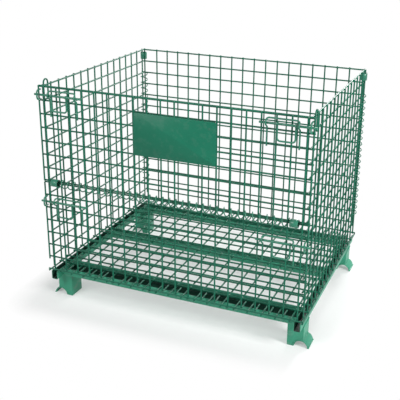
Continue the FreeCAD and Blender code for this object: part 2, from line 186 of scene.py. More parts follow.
def greenPaint(name, look):
    material = bpy.data.materials.new(name)
    material.use_nodes = True
    tree = material.node_tree
    shader = tree.nodes["Principled BSDF"]
    coat = tree.nodes.new("ShaderNodeGroup")
    coat.node_tree = dippedPaint
    for label in ("Base", "Deep", "Sheen"):
        # painted light and shade: each part's copy of the one paint is made lighter or darker by a factor, and
        # an even pale grey is added
        red, green, blue = (look["paintedLightTone"] * part + look["paleGrey"] for part in paint[label.lower()][:3])
        coat.inputs[label].default_value = (red, green, blue, 1)
    coat.inputs["Pooling"].default_value = look["pooling"]
    coat.inputs["Roughness"].default_value = look["rough"]
    worn = tree.nodes.new("ShaderNodeGroup")
    worn.node_tree = edgeWear
    worn.inputs["Amount"].default_value = look["wear"]
    worn.inputs["Scale"].default_value = look["chipScale"]
    dusty = tree.nodes.new("ShaderNodeGroup")
    dusty.node_tree = restingDust
    dusty.inputs["Amount"].default_value = look["dust"]
    colour = mixColour(tree, worn.outputs[0], coat.outputs["Color"], paint["steel"])
    colour = mixColour(tree, dusty.outputs[0], colour, paint["dust"])
    if "shadeNoiseScale" in look:
        # painted shade: the channels' inner faces are darkened towards near black, in patches, by the amount the
        # mesh carries, where shade falls in the recesses
        paintedShade = tree.nodes.new("ShaderNodeAttribute")
        paintedShade.attribute_name = "paintedShade"
        patchy = ramp(tree, noise(tree, look["shadeNoiseScale"], 3.0), 0.05, 0.42)
        shadeMask = mathNode(tree, "MULTIPLY", paintedShade.outputs["Fac"], patchy)
        colour = mixColour(tree, shadeMask, colour, paint["channelShade"])
    link(tree, colour, shader.inputs["Base Color"])
    dull = mathNode(tree, "MULTIPLY", dusty.outputs[0], 0.5)
    rough = mathNode(tree, "ADD", coat.outputs["Roughness"], dull, True)
    link(tree, rough, shader.inputs["Roughness"])
    link(tree, mathNode(tree, "MULTIPLY", worn.outputs[0], 0.6), shader.inputs["Metallic"])
    shader.inputs["Coat Weight"].default_value = look["coat"]
    shader.inputs["Coat Roughness"].default_value = paint["coatRough"]
    shader.inputs["Specular IOR Level"].default_value = look["gloss"]
    bump = tree.nodes.new("ShaderNodeBump")
    bump.inputs["Strength"].default_value = look["bump"]
    bump.inputs["Distance"].default_value = paint["peelDepth"]
    link(tree, coat.outputs["Height"], bump.inputs["Height"])
    link(tree, bump.outputs[0], shader.inputs["Normal"])
    return material


# the first value multiplies the paint's colours, so each part's copy of the one paint is painted lighter or
# darker for the light and shade on it; the second adds an even pale grey
looks = {
    "wire_paint": {"paintedLightTone": 0.79, "paleGrey": 0.004, "pooling": 0.5, "rough": 0.24, "wear": 0.15, "chipScale": 70,
                   "dust": 0.04, "coat": 0.03, "gloss": 0.14, "bump": 0.12},
    # frame_paint also sets the scale of the patches of painted shade inside the channels
    "frame_paint": {"paintedLightTone": 1.62, "paleGrey": 0.034, "pooling": 0.4, "rough": 0.32, "wear": 0.35, "chipScale": 45,
                    "dust": 0.06, "coat": 0.05, "gloss": 0.18, "bump": 0.2, "shadeNoiseScale": 18.0},
    "hardware_paint": {"paintedLightTone": 1.05, "paleGrey": 0.008, "pooling": 0.5, "rough": 0.24, "wear": 0.5, "chipScale": 90,
                       "dust": 0.06, "coat": 0.12, "gloss": 0.40, "bump": 0.15},
    "plate_paint": {"paintedLightTone": 0.86, "paleGrey": 0.002, "pooling": 0.2, "rough": 0.34, "wear": 0.20, "chipScale": 60,
                    "dust": 0.02, "coat": 0.04, "gloss": 0.16, "bump": 0.18},
}
finishes = {slot: greenPaint(slot.replace("_p", "P"), look) for slot, look in looks.items()}
print("finishes made")

for part in frame["record"]["subparts"]:
    thing = nodes[part["node"]]
    thing.data.materials.clear()
    thing.data.materials.append(finishes[part["material_slot"]])


def geometryTree(name, inputs):
    tree = bpy.data.node_groups.new(name, "GeometryNodeTree")
    tree.interface.new_socket("Geometry", in_out="INPUT", socket_type="NodeSocketGeometry")
    for label, kind in inputs:
        tree.interface.new_socket(label, in_out="INPUT", socket_type="NodeSocket" + kind)
    tree.interface.new_socket("Geometry", in_out="OUTPUT", socket_type="NodeSocketGeometry")
    return tree, tree.nodes.new("NodeGroupInput").outputs, tree.nodes.new("NodeGroupOutput").inputs


def add(tree, kind, sockets, **settings):
    # one node, with its sockets by name or number
    node = tree.nodes.new(kind)
    for key, value in settings.items():
        setattr(node, key, value)
    for key, value in sockets.items():
        feed(tree, node.inputs[key], value)
    return node.outputs


def wrap(tree, geometry, material, last):
    # every tree ends this way
    real = add(tree, "GeometryNodeRealizeInstances", {"Geometry": geometry})[0]
    link(tree, add(tree, "GeometryNodeSetMaterial", {"Geometry": real, "Material": material})[0], last)


# how wires, coils and welds are drawn
drawn = {
    "runLength": 0.04,        # a straight wire is cut into lengths of about this, so that it can wander
    "waveScale": 4.5,
    "bendPoints": 5,
    "turnPoints": 22,         # points in a coil's turn
    "coilSides": 8,
    "beadSides": 7,
    "beadRings": 4,
    "beadSmallest": 0.8,
    "beadLargest": 1.2,
    "dropLargest": 1.25,
}


def makeWireTree():
    # a path of corner points becomes a bent wire, and the wire is repeated at a step
    tree, given, out = geometryTree("wireSet", [
        ("Copies", "Int"), ("Step", "Vector"), ("Bend", "Float"), ("Radius", "Float"), ("Sides", "Int"),
        ("Unevenness", "Float"), ("Seed", "Float"), ("Material", "Material")])
    path = add(tree, "GeometryNodeMeshToCurve", {0: given["Geometry"]})[0]
    rounded = add(tree, "GeometryNodeFilletCurve", {"Curve": path, "Radius": given["Bend"], "Limit Radius": True,
                                                    "Count": drawn["bendPoints"]}, mode="POLY")[0]
    isBent = add(tree, "FunctionNodeCompare", {0: given["Bend"], 1: 0.0}, operation="GREATER_THAN")[0]
    path = add(tree, "GeometryNodeSwitch", {"Switch": isBent, "False": path, "True": rounded})[0]
    places = add(tree, "GeometryNodeMeshLine", {"Count": given["Copies"], "Offset": given["Step"]})[0]
    wires = add(tree, "GeometryNodeInstanceOnPoints", {"Points": places, "Instance": path})[0]
    wires = add(tree, "GeometryNodeRealizeInstances", {"Geometry": wires})[0]
    here = add(tree, "GeometryNodeInputPosition", {})[0]
    wave = add(tree, "ShaderNodeTexNoise", {"Vector": here, "W": given["Seed"], "Scale": drawn["waveScale"],
                                            "Detail": 1.0}, noise_dimensions="4D")["Color"]
    wave = add(tree, "ShaderNodeVectorMath", {0: wave, 1: (0.5, 0.5, 0.5)}, operation="SUBTRACT")[0]
    wave = add(tree, "ShaderNodeVectorMath", {0: wave, "Scale": given["Unevenness"]}, operation="SCALE")[0]
    wires = add(tree, "GeometryNodeSetPosition", {"Geometry": wires, "Offset": wave})[0]
    ring = add(tree, "GeometryNodeCurvePrimitiveCircle", {"Resolution": given["Sides"],
                                                          "Radius": given["Radius"]})[0]
    solid = add(tree, "GeometryNodeCurveToMesh", {"Curve": wires, "Profile Curve": ring, "Fill Caps": True})[0]
    wrap(tree, solid, given["Material"], out[0])
    return tree


def bead(tree, seed, largest):
    # a rough ball and a random size for each copy of it
    ball = add(tree, "GeometryNodeMeshUVSphere", {"Segments": drawn["beadSides"], "Rings": drawn["beadRings"],
                                                  "Radius": 1.0})[0]
    size = tree.nodes.new("FunctionNodeRandomValue")
    size.data_type = "FLOAT"
    size.inputs[2].default_value = drawn["beadSmallest"]
    size.inputs[3].default_value = largest
    feed(tree, size.inputs["Seed"], seed)
    return ball, size.outputs[1]


def makeBeadTree():
    # a grid of squashed weld nuggets, each a little different
    tree, given, out = geometryTree("weldGrid", [
        ("Rows", "Int"), ("Row Step", "Vector"), ("Columns", "Int"), ("Column Step", "Vector"),
        ("Size", "Vector"), ("Seed", "Int"), ("Material", "Material")])
    rows = add(tree, "GeometryNodeMeshLine", {"Count": given["Rows"], "Offset": given["Row Step"]})[0]
    columns = add(tree, "GeometryNodeMeshLine", {"Count": given["Columns"], "Offset": given["Column Step"]})[0]
    grid = add(tree, "GeometryNodeInstanceOnPoints", {"Points": rows, "Instance": columns})[0]
    grid = add(tree, "GeometryNodeRealizeInstances", {"Geometry": grid})[0]
    starts = add(tree, "GeometryNodeInstanceOnPoints", {"Points": given["Geometry"], "Instance": grid})[0]
    starts = add(tree, "GeometryNodeRealizeInstances", {"Geometry": starts})[0]
    ball, varied = bead(tree, given["Seed"], drawn["beadLargest"])
    size = add(tree, "ShaderNodeVectorMath", {0: given["Size"], "Scale": varied}, operation="SCALE")[0]
    beads = add(tree, "GeometryNodeInstanceOnPoints", {"Points": starts, "Instance": ball, "Scale": size})[0]
    wrap(tree, beads, given["Material"], out[0])
    return tree


def makeSeamTree():
    # a hand-laid weld: overlapping drops along a path
    tree, given, out = geometryTree("weldSeam", [
        ("Spacing", "Float"), ("Size", "Float"), ("Seed", "Int"), ("Material", "Material")])
    path = add(tree, "GeometryNodeMeshToCurve", {0: given["Geometry"]})[0]
    drops = tree.nodes.new("GeometryNodeResampleCurve")
    drops.mode = "LENGTH"
    feed(tree, drops.inputs["Curve"], path)
    feed(tree, drops.inputs["Length"], given["Spacing"])
    points = add(tree, "GeometryNodeCurveToPoints", {"Curve": drops.outputs[0]}, mode="EVALUATED")
    ball, varied = bead(tree, given["Seed"], drawn["dropLargest"])
    size = add(tree, "ShaderNodeMath", {0: given["Size"], 1: varied}, operation="MULTIPLY")[0]
    beads = add(tree, "GeometryNodeInstanceOnPoints", {"Points": points[0], "Instance": ball, "Scale": size})[0]
    wrap(tree, beads, given["Material"], out[0])
    return tree


def makeCoilTree():
    # a spring coil along its own Z, then turned and put in place
    tree, given, out = geometryTree("springCoil", [
        ("Turns", "Float"), ("Length", "Float"), ("Coil Radius", "Float"), ("Wire Radius", "Float"),
        ("Start Angle", "Float"), ("Turn", "Rotation"), ("Place", "Vector"), ("Material", "Material")])
    spiral = add(tree, "GeometryNodeCurveSpiral", {
        "Resolution": drawn["turnPoints"], "Rotations": given["Turns"], "Start Radius": given["Coil Radius"],
        "End Radius": given["Coil Radius"], "Height": given["Length"], "Reverse": True})[0]
    angle = add(tree, "ShaderNodeCombineXYZ", {"Z": given["Start Angle"]})[0]
    spiral = add(tree, "GeometryNodeTransform", {"Geometry": spiral, "Rotation": angle})[0]
    spiral = add(tree, "GeometryNodeTransform", {"Geometry": spiral, "Translation": given["Place"],
                                                 "Rotation": given["Turn"]})[0]
    ring = add(tree, "GeometryNodeCurvePrimitiveCircle", {"Resolution": drawn["coilSides"],
                                                          "Radius": given["Wire Radius"]})[0]
    solid = add(tree, "GeometryNodeCurveToMesh", {"Curve": spiral, "Profile Curve": ring, "Fill Caps": True})[0]
    wrap(tree, solid, given["Material"], out[0])
    return tree


wireSet = makeWireTree()
weldGrid = makeBeadTree()
weldSeam = makeSeamTree()
springCoil = makeCoilTree()


def grow(tree, base, values):
    # runs a tree on a base mesh and returns the plain mesh that it makes
    holder = bpy.data.objects.new("holder", base)
    bpy.context.scene.collection.objects.link(holder)
    modifier = holder.modifiers.new(tree.name, "NODES")
    modifier.node_group = tree
    names = {item.name: item.identifier for item in tree.interface.items_tree
             if item.item_type == "SOCKET" and item.in_out == "INPUT"}
    for label, value in values.items():
        modifier[names[label]] = value
    bpy.context.view_layer.update()
    result = bpy.data.meshes.new_from_object(holder.evaluated_get(bpy.context.evaluated_depsgraph_get()))
    bpy.data.objects.remove(holder)
    return result


def pathMesh(points):
    mesh = bpy.data.meshes.new("path")
    mesh.from_pydata([tuple(p) for p in points], [(i, i + 1) for i in range(len(points) - 1)], [])
    return mesh


def wires(points, radius, slot="wire_paint", copies=1, step=(0, 0, 0), bend=0.0, uneven=0.0, seed=1.0,
          sides=10):
    # one bent wire or a set of them; a long straight run is cut up so that it can be uneven
    if bend == 0 and uneven > 0:
        a, b = Vector(points[0]), Vector(points[-1])
        cuts = max(1, round((b - a).length / drawn["runLength"]))
        points = [a.lerp(b, i / cuts) for i in range(cuts + 1)]
    return grow(wireSet, pathMesh(points), {
        "Copies": copies, "Step": tuple(step), "Bend": bend, "Radius": radius, "Sides": sides,
        "Unevenness": uneven, "Seed": seed, "Material": finishes[slot]})


def welds(start, size, rows=1, rowStep=(0, 0, 0), columns=1, columnStep=(0, 0, 0), seed=1, slot="wire_paint"):
    return grow(weldGrid, pathMesh([start]), {
        "Rows": rows, "Row Step": tuple(rowStep), "Columns": columns, "Column Step": tuple(columnStep),
        "Size": tuple(size), "Seed": seed, "Material": finishes[slot]})


def seam(points, size, seed=1, slot="frame_paint"):
    return grow(weldSeam, pathMesh(points), {
        "Spacing": size * 1.1, "Size": size, "Seed": seed, "Material": finishes[slot]})


def finished(work):
    bmesh.ops.recalc_face_normals(work, faces=work.faces)
    mesh = bpy.data.meshes.new("shape")
    work.to_mesh(mesh)
    work.free()
    return mesh


def piece(name, body, slot, parts, replaced=(), sharp=48):
    # joins meshes into one piece that rides on a body
    joined = bmesh.new()
    for part in parts:
        joined.from_mesh(part)
        bpy.data.meshes.remove(part)
    mesh = bpy.data.meshes.new(name)
    joined.to_mesh(mesh)
    joined.free()
    mesh.materials.clear()
    mesh.materials.append(finishes[slot])
    mesh.polygons.foreach_set("material_index", [0] * len(mesh.polygons))
    mesh.shade_smooth()
    mesh.set_sharp_from_angle(angle=math.radians(sharp))
    thing = bpy.data.objects.new(name, mesh)
    bpy.context.scene.collection.objects.link(thing)
    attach(thing, body)
    if replaced:
        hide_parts(*replaced)
    return thing


def middle(node):
    low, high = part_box(node)
    return (low + high) / 2


# the welded mesh of the floor and the panels
net = {
    "pitch": 0.050,
    "wire": 0.0029,           # radius of the panel wires
    "baseWire": 0.0030,       # radius of the floor wires
    "rim": 0.0040,            # radius of the gate's thick top wire
    "uneven": 0.0011,         # how far a wire wanders from its line, from side to side
    "nearCoil": 0.0002,       # the same for wires that turn inside a hinge coil
    "nugget": 0.0036,
    "columns": 20,            # uprights of the front and the back, without the end wires
    "sideColumns": 16,
    "floorRows": 14,
    "floorColumns": 19,
    "hooks": (5, 8, 11, 14),  # uprights that hook round the floor's edge wire
    "footBend": 0.006,
    "hookRise": 0.0005,       # a hook ends this far above the middle of the floor's wires
    "endFoot": 0.166,         # lower ends of the short end wires, front and back
    "cornerFoot": 0.160,
}
pitch, wire = net["pitch"], net["wire"]
firstColumn = -(net["columns"] - 1) / 2 * pitch
nuggetXZ = (net["nugget"], net["nugget"] * 0.45, net["nugget"])
nuggetYZ = (net["nugget"] * 0.45, net["nugget"], net["nugget"])
nuggetXY = (net["nugget"], net["nugget"], net["nugget"] * 0.45)
frontY = middle("gate_uprights").y
edgeLow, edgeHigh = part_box("floor_edge_wires")
rowZ = middle("floor_rows").z
edgeY = {-1: edgeLow.y + net["baseWire"], 1: edgeHigh.y - net["baseWire"]}


def evenWires(start, end, radius=wire, copies=1, step=(0, 0, 0), seed=1.0, uneven=net["uneven"]):
    return wires([start, end], radius, copies=copies, step=step, uneven=uneven, seed=seed)


def footedUprights(side, first, last, top, y, tipY):
    # uprights that end in a hook round the edge wire or in a tail turned inwards over the floor
    made = []
    edge = edgeY[side]
    reach = abs(edge - y)
    outside = edge + side * reach
    for station in range(first, last + 1):
        x = firstColumn + station * pitch
        if station in (0, net["columns"] - 1):
            made.append(wires([(x, y, top), (x, y, rowZ)], wire))
        elif station in net["hooks"]:
            path = [(x, y, top), (x, y, rowZ - reach), (x, outside, rowZ - reach),
                    (x, outside, rowZ + net["hookRise"])]
            made.append(wires(path, wire, bend=reach, uneven=0.0))
        else:
            path = [(x, y, top), (x, y, rowZ), (x, tipY, rowZ)]
            made.append(wires(path, wire, bend=net["footBend"], uneven=0.0))
    return made


def panelWelds(y, z, rows, columns=net["columns"], x=firstColumn, seed=1):
    return welds((x, y, z), nuggetXZ, rows, (0, 0, -pitch), columns, (pitch, 0, 0), seed)


def makeFloor():
    made = []
    low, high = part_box("floor_rows")
    columnLow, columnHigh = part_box("floor_columns")
    columnZ = (columnLow.z + columnHigh.z) / 2
    r = net["baseWire"]
    firstRow = low.y + r
    firstX = columnLow.x + r
    made.append(evenWires((low.x, firstRow, rowZ), (high.x, firstRow, rowZ), r,
                          net["floorRows"], (0, pitch, 0)))
    made.append(evenWires((firstX, columnLow.y, columnZ), (firstX, columnHigh.y, columnZ), r,
                          net["floorColumns"], (pitch, 0, 0)))
    between = (rowZ + columnZ) / 2
    for y in edgeY.values():
        made.append(evenWires((edgeLow.x, y, rowZ), (edgeHigh.x, y, rowZ), r))
        made.append(welds((firstX, y, between), nuggetXY,
                          columns=net["floorColumns"], columnStep=(pitch, 0, 0)))
    for x in (edgeLow.x + r, edgeHigh.x - r):
        made.append(evenWires((x, edgeLow.y, columnZ), (x, edgeHigh.y, columnZ), r))
        made.append(welds((x, firstRow, between), nuggetXY, net["floorRows"], (0, pitch, 0), seed=3))
    made.append(welds((firstX, firstRow, between), nuggetXY, net["floorRows"], (0, pitch, 0),
                      net["floorColumns"], (pitch, 0, 0), seed=5))
    piece("floorMesh", "base", "wire_paint", made, ("floor_rows", "floor_columns", "floor_edge_wires"))


def makeBack():
    low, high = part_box("back_uprights")
    rowLow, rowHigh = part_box("back_rows")
    rowY = (rowLow.y + rowHigh.y) / 2
    y = rowY + 2 * wire
    made = footedUprights(1, 1, net["columns"] - 2, high.z, y, low.y)
    for x in (low.x + wire, high.x - wire):
        made.append(evenWires((x, y, net["cornerFoot"]), (x, y, high.z)))
    top = rowHigh.z - wire
    rows = round((top - rowLow.z) / pitch) + 1
    made.append(evenWires((rowLow.x, rowY, top), (rowHigh.x, rowY, top), copies=rows, step=(0, 0, -pitch)))
    rimZ = middle("back_rim").z
    made.append(evenWires((rowLow.x, rowY, rimZ), (rowHigh.x, rowY, rimZ)))
    made.append(panelWelds(rowY + wire, rimZ, rows + 1, net["columns"] - 2, firstColumn + pitch))
    for x in (low.x + wire, high.x - wire):
        made.append(panelWelds(rowY + wire, rimZ, rows + 1, 1, x, seed=9))
    piece("backMesh", "base", "wire_paint", made, ("back_uprights", "back_rows", "back_rim"))


def makeSide(name, side):
    low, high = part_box("side_uprights_" + name)
    rowLow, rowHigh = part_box("side_rows_" + name)
    rimLow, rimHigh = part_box("side_rim_" + name)
    loopLow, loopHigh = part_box("corner_loop_" + name)
    x = (low.x + high.x) / 2
    rowX = (rowLow.x + rowHigh.x) / 2
    firstY = low.y + wire
    last = net["sideColumns"] - 1
    lastY = firstY + last * pitch
    made = [evenWires((x, firstY, low.z), (x, firstY, high.z), copies=last, step=(0, pitch, 0)),
            evenWires((x, lastY, low.z), (x, lastY, high.z), uneven=0)]
    top = rowHigh.z - wire
    rows = round((top - rowLow.z) / pitch) + 1
    shortRow = rows // 2      # this row stops short of the middle hinge
    rowSets = ((0, shortRow, rowLow.y), (shortRow, 1, low.y), (shortRow + 1, shortRow, rowLow.y))
    for first, count, start in rowSets:
        z = top - first * pitch
        made.append(evenWires((rowX, start, z), (rowX, rowHigh.y, z), copies=count, step=(0, 0, -pitch),
                              uneven=net["nearCoil"]))
    rimZ = (rimLow.z + rimHigh.z) / 2
    made.append(evenWires((rowX, rimLow.y, rimZ), (rowX, rimHigh.y, rimZ)))
    frontLeg, rearLeg, turn = loopLow.y + wire, loopHigh.y - wire, loopHigh.z - wire
    hairpin = [(x, frontLeg, loopLow.z), (x, frontLeg, turn), (x, rearLeg, turn), (x, rearLeg, loopLow.z)]
    made.append(wires(hairpin, wire, bend=(rearLeg - frontLeg) / 2))
    between = (x + rowX) / 2
    made.append(welds((between, firstY, rimZ), nuggetYZ, rows + 1, (0, 0, -pitch), last, (0, pitch, 0),
                      seed=11 + side))
    for y in (frontLeg, rearLeg):
        made.append(welds((between, y, rimZ), nuggetYZ, 2, (0, 0, -pitch), seed=13))
    piece(name + "SideMesh", "side_" + name, "wire_paint", made,
          ("side_uprights_" + name, "side_rows_" + name, "side_rim_" + name, "corner_loop_" + name))


def makeLowerFront():
    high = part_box("lower_uprights")[1]
    rowLow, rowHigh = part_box("lower_rows")
    rowY = (rowLow.y + rowHigh.y) / 2
    made = footedUprights(-1, 0, net["columns"] - 1, high.z, frontY, high.y)
    hingeZ, bottom = rowHigh.z - wire, rowLow.z + wire
    rows = int((hingeZ - bottom) / pitch) + 1
    top = bottom + (rows - 1) * pitch
    for x in (rowLow.x + wire, rowHigh.x - wire):
        made.append(evenWires((x, frontY, net["endFoot"]), (x, frontY, high.z)))
        made.append(panelWelds(rowY - wire, top, rows, 1, x, seed=19))
    made.append(evenWires((rowLow.x, rowY, top), (rowHigh.x, rowY, top), copies=rows, step=(0, 0, -pitch)))
    made.append(evenWires((rowLow.x, rowY, hingeZ), (rowHigh.x, rowY, hingeZ)))
    made.append(panelWelds(rowY - wire, top, rows, seed=21))
    made.append(panelWelds(rowY - wire, hingeZ, 1, seed=23))
    piece("lowerFrontMesh", "lower_front", "wire_paint", made, ("lower_uprights", "lower_rows"))


def makeGate():
    low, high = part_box("gate_uprights")
    rowLow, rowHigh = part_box("gate_rows")
    rowY = (rowLow.y + rowHigh.y) / 2
    rim = middle("gate_rim")
    hingeZ, top = rowLow.z + wire, rowHigh.z - wire
    rows = int((top - hingeZ) / pitch) + 1
    made = [evenWires((firstColumn, frontY, low.z), (firstColumn, frontY, high.z), copies=net["columns"],
                      step=(pitch, 0, 0), uneven=net["nearCoil"])]
    for x in (low.x + wire, high.x - wire):
        made.append(evenWires((x, frontY, low.z), (x, frontY, high.z), uneven=net["nearCoil"]))
        made.append(panelWelds(rowY - wire, top, rows, 1, x, seed=27))
    made.append(evenWires((rowLow.x, rowY, top), (rowHigh.x, rowY, top), copies=rows, step=(0, 0, -pitch)))
    made.append(evenWires((rowLow.x, rowY, hingeZ), (rowHigh.x, rowY, hingeZ), uneven=0))
    made.append(wires([(rowLow.x, rim.y, rim.z), (rowHigh.x, rim.y, rim.z)], net["rim"], sides=14,
                      uneven=net["uneven"] * 0.6))
    made.append(panelWelds(rowY - wire, top, rows, seed=29))
    made.append(panelWelds(rim.y - net["rim"], rim.z, 1, seed=33))
    piece("gateMesh", "upper_gate", "wire_paint", made, ("gate_uprights", "gate_rows", "gate_rim"))


makeFloor()
makeBack()
makeSide("left", -1)
makeSide("right", 1)
makeLowerFront()
makeGate()
print("welded mesh made")

# spring coils and the sleeves that hold their ends
hinge = {
    "wire": 0.0020,
    "pitch": 0.025,
    "clipInner": 0.0123,
    "clipSheet": 0.0015,
    "clipSlit": 14,           # degrees left open along a rolled clip
    "clipRound": 0.0004,
    "clipSteps": 40,
}


def coil(node, along, atWire, angleAtWire):
    # a coil that passes each welded wire on the side that lets the panel swing
    low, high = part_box(node)
    r = hinge["wire"]
    centre = (low + high) / 2
    turn = Matrix(((0, 0, 1), (1, 0, 0), (0, 1, 0))) if along == "x" else Matrix.Identity(3)
    start = (low.x if along == "x" else low.z) + r
    length = (high.x - low.x if along == "x" else high.z - low.z) - 2 * r
    width = (high.y - low.y) / 2 - r
    place = (start, centre.y, centre.z) if along == "x" else (centre.x, centre.y, start)
    angle = math.radians(angleAtWire + 360 * (start - atWire) / hinge["pitch"])
    return grow(springCoil, pathMesh([(0, 0, 0)]), {
        "Turns": length / hinge["pitch"], "Length": length, "Coil Radius": width, "Wire Radius": r,
        "Start Angle": angle, "Turn": tuple(turn.to_euler()), "Place": place,
        "Material": finishes["hardware_paint"]})


def rolledClip(node, along, slitAngle):
    # a sleeve rolled from sheet, with a slit where its edges nearly meet
    low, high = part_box(node)
    centre = (low + high) / 2
    half = (high.x - low.x if along == "x" else high.z - low.z) / 2
    inner, outer = hinge["clipInner"], hinge["clipInner"] + hinge["clipSheet"]
    soft, steps = hinge["clipRound"], hinge["clipSteps"]
    profile = [(-half, inner + soft), (-half, outer - soft), (-half + soft, outer), (half - soft, outer),
               (half, outer - soft), (half, inner + soft), (half - soft, inner), (-half + soft, inner)]
    work = bmesh.new()
    rings = []
    for i in range(steps + 1):
        angle = math.radians(slitAngle + hinge["clipSlit"] / 2 + (360 - hinge["clipSlit"]) * i / steps)
        ring = []
        for reach, radius in profile:
            a, b = radius * math.cos(angle), radius * math.sin(angle)
            place = v(reach, a, b) if along == "x" else v(a, b, reach)
            ring.append(work.verts.new(centre + place))
        rings.append(ring)
    count = len(profile)
    for i in range(steps):
        for j in range(count):
            k = (j + 1) % count
            work.faces.new((rings[i][j], rings[i][k], rings[i + 1][k], rings[i + 1][j]))
    work.faces.new(rings[0])
    work.faces.new(rings[-1])
    return finished(work)


piece("middleCoil", "lower_front", "hardware_paint", [coil("hinge_coil_middle", "x", firstColumn, 0)],
      ("hinge_coil_middle",))
for name in ("left", "right"):
    piece("middleClip_" + name, "lower_front", "hardware_paint",
          [rolledClip("hinge_clip_middle_" + name, "x", 20)], ("hinge_clip_middle_" + name,))
rimZ = middle("back_rim").z
for name, angle in (("left", 135), ("right", 45)):
    piece("rearCoil_" + name, "base", "hardware_paint", [coil("hinge_coil_rear_" + name, "z", rimZ, angle)],
          ("hinge_coil_rear_" + name,))
    piece("rearClip_" + name, "base", "hardware_paint",
          [rolledClip("hinge_clip_rear_" + name, "z", angle + 180)], ("hinge_clip_rear_" + name,))
print("spring hinges made")

# sliding bolts with their handles, staples and loops
latch = {
    "bolt": 0.0040,
    "boltRound": 0.0014,
    "handleWire": 0.0030,
    "handleBend": 0.0110,
    "eyeBore": 0.0041,
    "eyeOuter": 0.0059,
    "eyeHalf": 0.0035,
    "eyeRound": 0.0006,
    "eyeChamfer": (0.0004, 0.0003),    # along the bore and out from it
    "handleStart": 0.0008,    # bore to the ends of the handle's wire
    "kinkDrop": 0.016,        # bolt to the bend where a staple's leg leaves the mesh
    "barRise": 0.016,         # bolt to the bar of the staple
    "stapleBend": 0.0085,
    "loopHalf": 0.017,
    "loopBend": 0.010,
}


def turned(profile, centre, closed=False, sides=20):
    # a shape turned about the X axis, from (along, radius) pairs
    work = bmesh.new()
    rings = []
    for along, radius in profile:
        corners = [(radius * math.cos(2 * math.pi * i / sides), radius * math.sin(2 * math.pi * i / sides))
                   for i in range(sides)]
        rings.append([work.verts.new(centre + v(along, a, b)) for a, b in corners])
    pairs = list(zip(rings, rings[1:] + rings[:1])) if closed else list(zip(rings, rings[1:]))
    for a, b in pairs:
        for i in range(sides):
            work.faces.new((a[i], a[(i + 1) % sides], b[(i + 1) % sides], b[i]))
    if not closed:
        work.faces.new(rings[0])
        work.faces.new(rings[-1])
    return finished(work)


def makeLatch(place, panel):
    low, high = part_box("bolt_" + place)
    centre = (low + high) / 2
    r, soft, half = latch["bolt"], latch["boltRound"], (high.x - low.x) / 2
    bar = [(-half, r - soft), (-half + soft * 0.4, r - soft * 0.4), (-half + soft, r), (half - soft, r),
           (half - soft * 0.4, r - soft * 0.4), (half, r - soft)]
    piece("bolt_" + place + "Rod", "bolt_" + place, "hardware_paint", [turned(bar, centre)], ("bolt_" + place,))

    low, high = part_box("handle_" + place)
    bore, outer, wide = latch["eyeBore"], latch["eyeOuter"], latch["eyeHalf"]
    left, right, bottom = low.x + wide, high.x - wide, low.z + latch["handleWire"]
    start = centre.z - bore - latch["handleStart"]
    made = [wires([(left, centre.y, start), (left, centre.y, bottom), (right, centre.y, bottom),
                   (right, centre.y, start)], latch["handleWire"], "hardware_paint",
                  bend=latch["handleBend"], sides=14)]
    edge, (inward, outward) = latch["eyeRound"], latch["eyeChamfer"]
    eye = [(-wide, bore + outward), (-wide + edge, outer), (wide - edge, outer), (wide, bore + outward),
           (wide - inward, bore), (-wide + inward, bore)]
    for x in (left, right):
        made.append(turned(eye, v(x, centre.y, centre.z), closed=True))
    piece("handle_" + place + "Pull", "handle_" + place, "hardware_paint", made, ("handle_" + place,))

    low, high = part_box("guide_" + place)
    guideY, barY, z = low.y + wire, frontY - 2 * wire, centre.z
    legs = []
    for x in (low.x + wire, high.x - wire):
        legs.append([(x, frontY, low.z), (x, frontY, z - latch["kinkDrop"]), (x, guideY, z - r),
                     (x, guideY, z + r), (x, barY, z + latch["barRise"])])
    made = [wires(legs[0] + legs[1][::-1], wire, bend=latch["stapleBend"], sides=12)]
    low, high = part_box("bolt_loop_" + place)
    x, front, up = (low.x + high.x) / 2, low.y + wire, latch["loopHalf"]
    made.append(wires([(x, high.y, z - up), (x, front, z - up), (x, front, z + up), (x, high.y, z + up)],
                      wire, bend=latch["loopBend"], sides=12))
    piece(place + "Staple", panel, "hardware_paint", made, ("guide_" + place, "bolt_loop_" + place))


for place, panel in (("upper_left", "upper_gate"), ("upper_right", "upper_gate"),
                     ("lower_left", "lower_front"), ("lower_right", "lower_front")):
    makeLatch(place, panel)
print("latches made")

# channels, feet and the plate
chassis = {
    "wall": 0.0025,
    "bend": 0.0045,           # outside radius of a channel's folds
    "foldSteps": 5,
    "seamDrop": 0.003,        # a channel's welds start this far below its top
    "footRound": 0.0024,
    "saddleRound": 0.0007,
    "seam": 0.0021,
    "saddleInner": 0.024,
    "saddleSheet": 0.003,
    "saddleAxis": 0.481,
    "saddleWeld": (12, 168),  # degrees of the arch that are welded to the leg
    "saddleSteps": 24,
    # how dark the painted shade inside each channel is, and the value for the other channels
    "innerShade": {"cross_channel_middle": 0.35, "cross_channel_rear": 0.60},
    "usualInnerShade": 0.95,
    "plateCorner": 0.006,
    "plateEdge": (0.0004, 0.0005),    # rounding of the plate's back and front edges
    "plateSpot": 0.0045,
}


